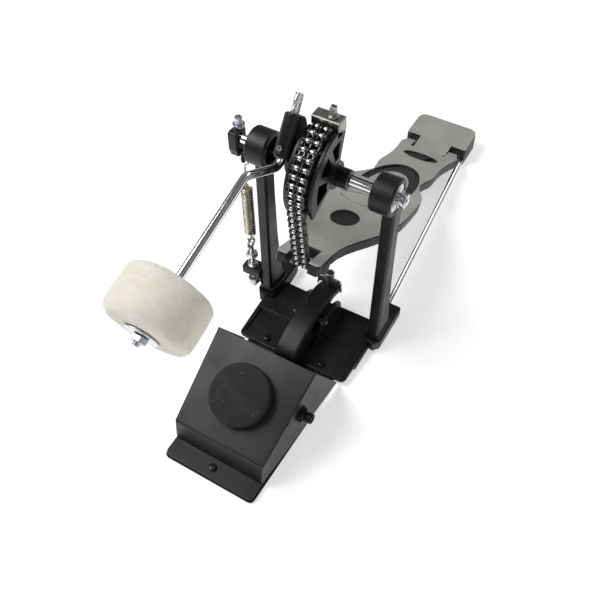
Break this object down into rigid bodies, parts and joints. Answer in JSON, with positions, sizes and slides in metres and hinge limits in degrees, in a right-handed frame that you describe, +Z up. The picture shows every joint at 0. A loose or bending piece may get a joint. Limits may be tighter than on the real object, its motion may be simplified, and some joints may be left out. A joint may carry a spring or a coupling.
{
  "type": "bass drum pedal with trigger tower",
  "caption": "Chain-drive bass drum pedal with a felt beater, a side spring and a rubber-padded trigger tower that the beater strikes.",
  "frame": {"origin": "on the floor under the middle of the axle, on the base's rubber foot", "axes": "+X to the jack side, +Y from the tower towards the heel, +Z up"},
  "size_m": [0.1672, 0.5528, 0.2735],
  "materials": {
    "black_powder_coat": "satin black powder coat",
    "black_nylon": "moulded black nylon",
    "dark_grey_sheet": "dark grey textured paint on folded sheet",
    "black_rubber": "matte black rubber",
    "speckled_silver": "fine speckled silver",
    "bright_chrome": "polished",
    "zinc_steel": "zinc plated",
    "warm_nickel": "nickel plated wire",
    "black_nickel": "black nickel plate with bright rollers",
    "cream_felt": "dense cream felt",
    "piezo_brass": "plain"
  },
  "bodies": {
    "base": {"base_casting": "black_powder_coat", "base_rubber": "black_rubber", "left_post": "black_powder_coat", "right_post": "black_powder_coat", "left_outer_race": "zinc_steel", "right_outer_race": "zinc_steel", "left_base_screw": "black_powder_coat", "right_base_screw": "black_powder_coat", "eye_bolt": "zinc_steel", "upper_nut": "zinc_steel", "lug_nut": "zinc_steel", "heel_plate": "black_powder_coat", "heel_top": "speckled_silver", "heel_pin": "zinc_steel", "heel_rubber": "black_rubber", "left_rod": "bright_chrome", "right_rod": "bright_chrome", "clamp_pin": "zinc_steel", "tower_cover": "dark_grey_sheet", "tower_floor": "dark_grey_sheet", "tower_rubber": "black_rubber", "striking_pad": "black_rubber", "piezo_disc": "piezo_brass", "foam_block": "black_rubber", "jack_socket": "black_nylon", "jack_nut": "black_nylon", "tower_screw": "black_powder_coat"},
    "footboard": {"footboard": "black_powder_coat", "footboard_top": "speckled_silver", "toe_pin": "zinc_steel"},
    "axle": {"hex_axle": "bright_chrome", "axle_nut": "zinc_steel", "left_inner_race": "zinc_steel", "right_inner_race": "zinc_steel", "cam": "black_nylon", "chain_clamp_block": "zinc_steel", "chain_clamp_screw": "bright_chrome", "chain_wrapped": "black_nickel", "beater_holder": "black_powder_coat", "holder_screw": "zinc_steel", "beater_rod": "bright_chrome", "felt_head": "cream_felt", "front_washer": "zinc_steel", "rear_washer": "zinc_steel", "beater_nut": "zinc_steel", "crank_block": "black_powder_coat", "crank_washer": "zinc_steel", "crank_screw": "zinc_steel"},
    "chain_link_1": {"chain_link_1": "black_nickel"},
    "chain_link_2": {"chain_link_2": "black_nickel"},
    "chain_link_3": {"chain_link_3": "black_nickel"},
    "chain_run": {"chain_run": "black_nickel", "chain_hook": "zinc_steel"},
    "swivel": {"spring_swivel": "black_powder_coat"},
    "spring": {"spring": "warm_nickel"},
    "clamp_arm": {"clamp_arm": "black_powder_coat"},
    "clamp_screw": {"clamp_screw": "zinc_steel"},
    "thumb_nut": {"thumb_nut": "zinc_steel"}
  },
  "joints": [
    {"name": "footboard_tilt", "type": "hinge", "parent": "base", "child": "footboard", "pos_m": [0, 0.276, 0.0185], "axis": [1, 0, 0], "range_deg": [0, 5.3], "stiffness_Nm_per_rad": 40, "springref_deg": -11.46},
    {"name": "axle_turn", "type": "hinge", "parent": "base", "child": "axle", "pos_m": [0, 0, 0.205], "axis": [1, 0, 0], "range_deg": [0, 35]},
    {"name": "link_1_fold", "type": "hinge", "parent": "axle", "child": "chain_link_1", "pos_m": [0, -0.03953, 0.22634], "axis": [1, 0, 0], "range_deg": [-6.49, 0]},
    {"name": "link_2_fold", "type": "hinge", "parent": "axle", "child": "chain_link_2", "pos_m": [0, -0.04157, 0.2221], "axis": [1, 0, 0], "range_deg": [-17.5, 0]},
    {"name": "link_3_fold", "type": "hinge", "parent": "axle", "child": "chain_link_3", "pos_m": [0, -0.04325, 0.21795], "axis": [1, 0, 0], "range_deg": [-31.07, 0]},
    {"name": "run_fold", "type": "hinge", "parent": "axle", "child": "chain_run", "pos_m": [0, -0.04432, 0.21484], "axis": [1, 0, 0], "range_deg": [-41.24, 0]},
    {"name": "swivel_turn", "type": "hinge", "parent": "axle", "child": "swivel", "pos_m": [0, -0.0005, 0.1915], "axis": [1, 0, 0], "range_deg": [-39, 0]},
    {"name": "spring_stretch", "type": "slide", "parent": "swivel", "child": "spring", "axis": [0, 0, -1], "range_m": [0, 0.0025], "deforming": ["spring"]},
    {"name": "clamp_open", "type": "hinge", "parent": "base", "child": "clamp_arm", "pos_m": [0, -0.019, 0.028], "axis": [1, 0, 0], "range_deg": [-6, 0]},
    {"name": "clamp_screw_travel", "type": "slide", "parent": "clamp_arm", "child": "clamp_screw", "axis": [0, 0, 1], "range_m": [0, 0.0044]},
    {"name": "thumb_nut_turn", "type": "hinge", "parent": "base", "child": "thumb_nut", "pos_m": [-0.0785, 0, 0.02], "axis": [0, 0, 1], "continuous": true}
  ],
  "couplings": [
    {"joint": "axle_turn", "follows": "footboard_tilt", "ratio": 6.6038},
    {"joint": "link_1_fold", "follows": "footboard_tilt", "ratio": -1.2151},
    {"joint": "link_2_fold", "follows": "footboard_tilt", "ratio": -3.2925},
    {"joint": "link_3_fold", "follows": "footboard_tilt", "ratio": -5.8528},
    {"joint": "run_fold", "follows": "footboard_tilt", "ratio": -7.7717},
    {"joint": "swivel_turn", "follows": "footboard_tilt", "ratio": -7.3491},
    {"joint": "spring_stretch", "follows": "footboard_tilt", "m_per_rad": 0.02595},
    {"joint": "clamp_screw_travel", "follows": "clamp_open", "m_per_rad": -0.0418}
  ]
}
